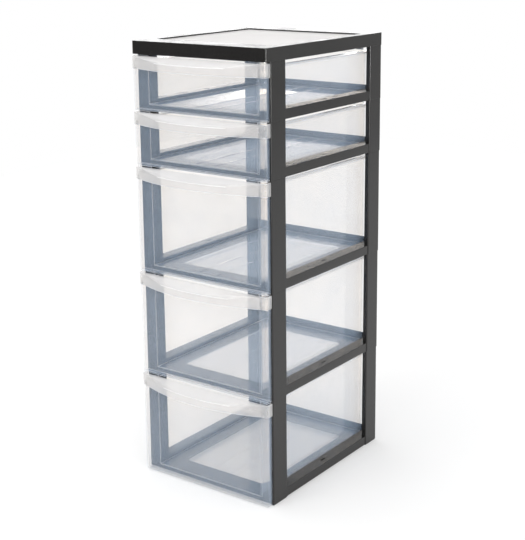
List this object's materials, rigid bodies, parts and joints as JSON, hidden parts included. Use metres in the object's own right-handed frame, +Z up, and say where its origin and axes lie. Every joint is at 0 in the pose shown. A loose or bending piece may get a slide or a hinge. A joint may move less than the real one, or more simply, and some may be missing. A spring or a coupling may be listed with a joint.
{
  "type": "drawer tower",
  "caption": "Free-standing plastic drawer tower: black open frame of stacked tiers with clear shallow and deep drawers that slide out by bowed pulls.",
  "frame": {"origin": "middle of the footprint on the floor, with the drawer pulls counted in", "axes": "+Z up, +Y towards the back, +X to the right when looking at the drawer fronts"},
  "size_m": [0.3, 0.4116, 0.8385],
  "materials": {
    "frame": "satin",
    "drawers": "gloss",
    "panel": "gloss"
  },
  "bodies": {
    "tower_frame": {"top_frame": "frame", "top_panel": "panel", "feet": "frame", "shelf_1": "frame", "shelf_2": "frame", "shelf_3": "frame", "shelf_4": "frame", "shelf_5": "frame", "post_1_front_left": "frame", "post_1_front_right": "frame", "post_1_back_left": "frame", "post_1_back_right": "frame", "post_2_front_left": "frame", "post_2_front_right": "frame", "post_2_back_left": "frame", "post_2_back_right": "frame", "post_3_front_left": "frame", "post_3_front_right": "frame", "post_3_back_left": "frame", "post_3_back_right": "frame", "post_4_front_left": "frame", "post_4_front_right": "frame", "post_4_back_left": "frame", "post_4_back_right": "frame", "post_5_front_left": "frame", "post_5_front_right": "frame", "post_5_back_left": "frame", "post_5_back_right": "frame"},
    "drawer_1_body": {"drawer_1": "drawers"},
    "drawer_2_body": {"drawer_2": "drawers"},
    "drawer_3_body": {"drawer_3": "drawers"},
    "drawer_4_body": {"drawer_4": "drawers"},
    "drawer_5_body": {"drawer_5": "drawers"}
  },
  "joints": [
    {"name": "drawer_1_slide", "type": "slide", "parent": "tower_frame", "child": "drawer_1_body", "axis": [0, -1, 0], "range_m": [0, 0.31]},
    {"name": "drawer_2_slide", "type": "slide", "parent": "tower_frame", "child": "drawer_2_body", "axis": [0, -1, 0], "range_m": [0, 0.31]},
    {"name": "drawer_3_slide", "type": "slide", "parent": "tower_frame", "child": "drawer_3_body", "axis": [0, -1, 0], "range_m": [0, 0.31]},
    {"name": "drawer_4_slide", "type": "slide", "parent": "tower_frame", "child": "drawer_4_body", "axis": [0, -1, 0], "range_m": [0, 0.31]},
    {"name": "drawer_5_slide", "type": "slide", "parent": "tower_frame", "child": "drawer_5_body", "axis": [0, -1, 0], "range_m": [0, 0.31]}
  ]
}
